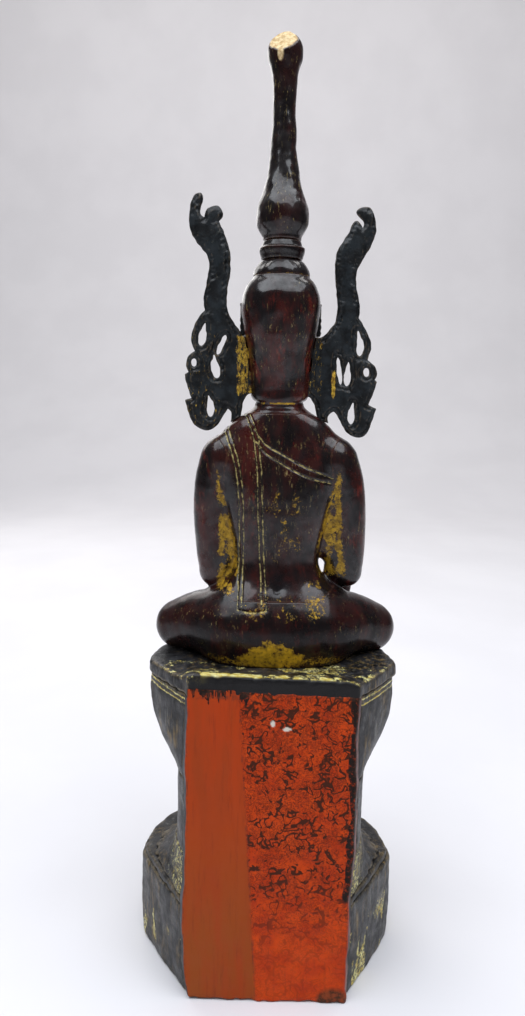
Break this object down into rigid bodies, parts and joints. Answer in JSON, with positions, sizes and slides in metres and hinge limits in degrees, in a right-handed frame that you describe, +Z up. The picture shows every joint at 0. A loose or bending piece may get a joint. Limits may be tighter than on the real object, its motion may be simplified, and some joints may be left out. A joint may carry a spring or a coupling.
{
  "type": "seated buddha statue",
  "caption": "Crowned figure seated cross-legged on a tall waisted throne with a flat red back, pierced wings beside the head and a turned finial.",
  "frame": {"origin": "middle of the footprint on the surface that it stands on", "axes": "+Z up, the figure faces -Y, its left hand side is +X"},
  "size_m": [0.1902, 0.1521, 0.64],
  "materials": {
    "body_lacquer": "glossy dark maroon lacquer with worn gilding",
    "throne_lacquer": "worn grey-black lacquer over knife-cut wood",
    "red_paint": "semi-gloss orange-red paint with dark runs",
    "crown_lacquer": "satin blue-black lacquer with traces of gold",
    "bare_wood": "plain cut wood"
  },
  "bodies": {
    "root": {"plinth_block": "throne_lacquer", "plinth_lip": "throne_lacquer", "lower_lotus": "throne_lacquer", "waist_block": "throne_lacquer", "upper_lotus": "throne_lacquer", "seat_board": "throne_lacquer", "back_board_left": "red_paint", "back_board_right": "red_paint", "board_pegs": "bare_wood", "throne_dowels": "bare_wood", "lap": "body_lacquer", "torso": "body_lacquer", "left_arm": "body_lacquer", "right_arm": "body_lacquer", "left_forearm": "body_lacquer", "right_forearm": "body_lacquer", "head": "body_lacquer", "crown_band": "crown_lacquer", "crown_ring": "body_lacquer", "crown_collar": "body_lacquer", "neck_dowel": "bare_wood", "arm_dowels": "bare_wood", "figure_dowels": "bare_wood"},
    "finial": {"finial": "body_lacquer"},
    "left_wing": {"left_wing": "crown_lacquer"},
    "right_wing": {"right_wing": "crown_lacquer"}
  },
  "joints": [
    {"name": "finial_lift", "type": "slide", "parent": "root", "child": "finial", "axis": [0, 0, 1], "range_m": [0, 0.03]},
    {"name": "left_wing_pull", "type": "slide", "parent": "root", "child": "left_wing", "axis": [1, 0, 0], "range_m": [0, 0.016]},
    {"name": "right_wing_pull", "type": "slide", "parent": "root", "child": "right_wing", "axis": [-1, 0, 0], "range_m": [0, 0.016]}
  ]
}
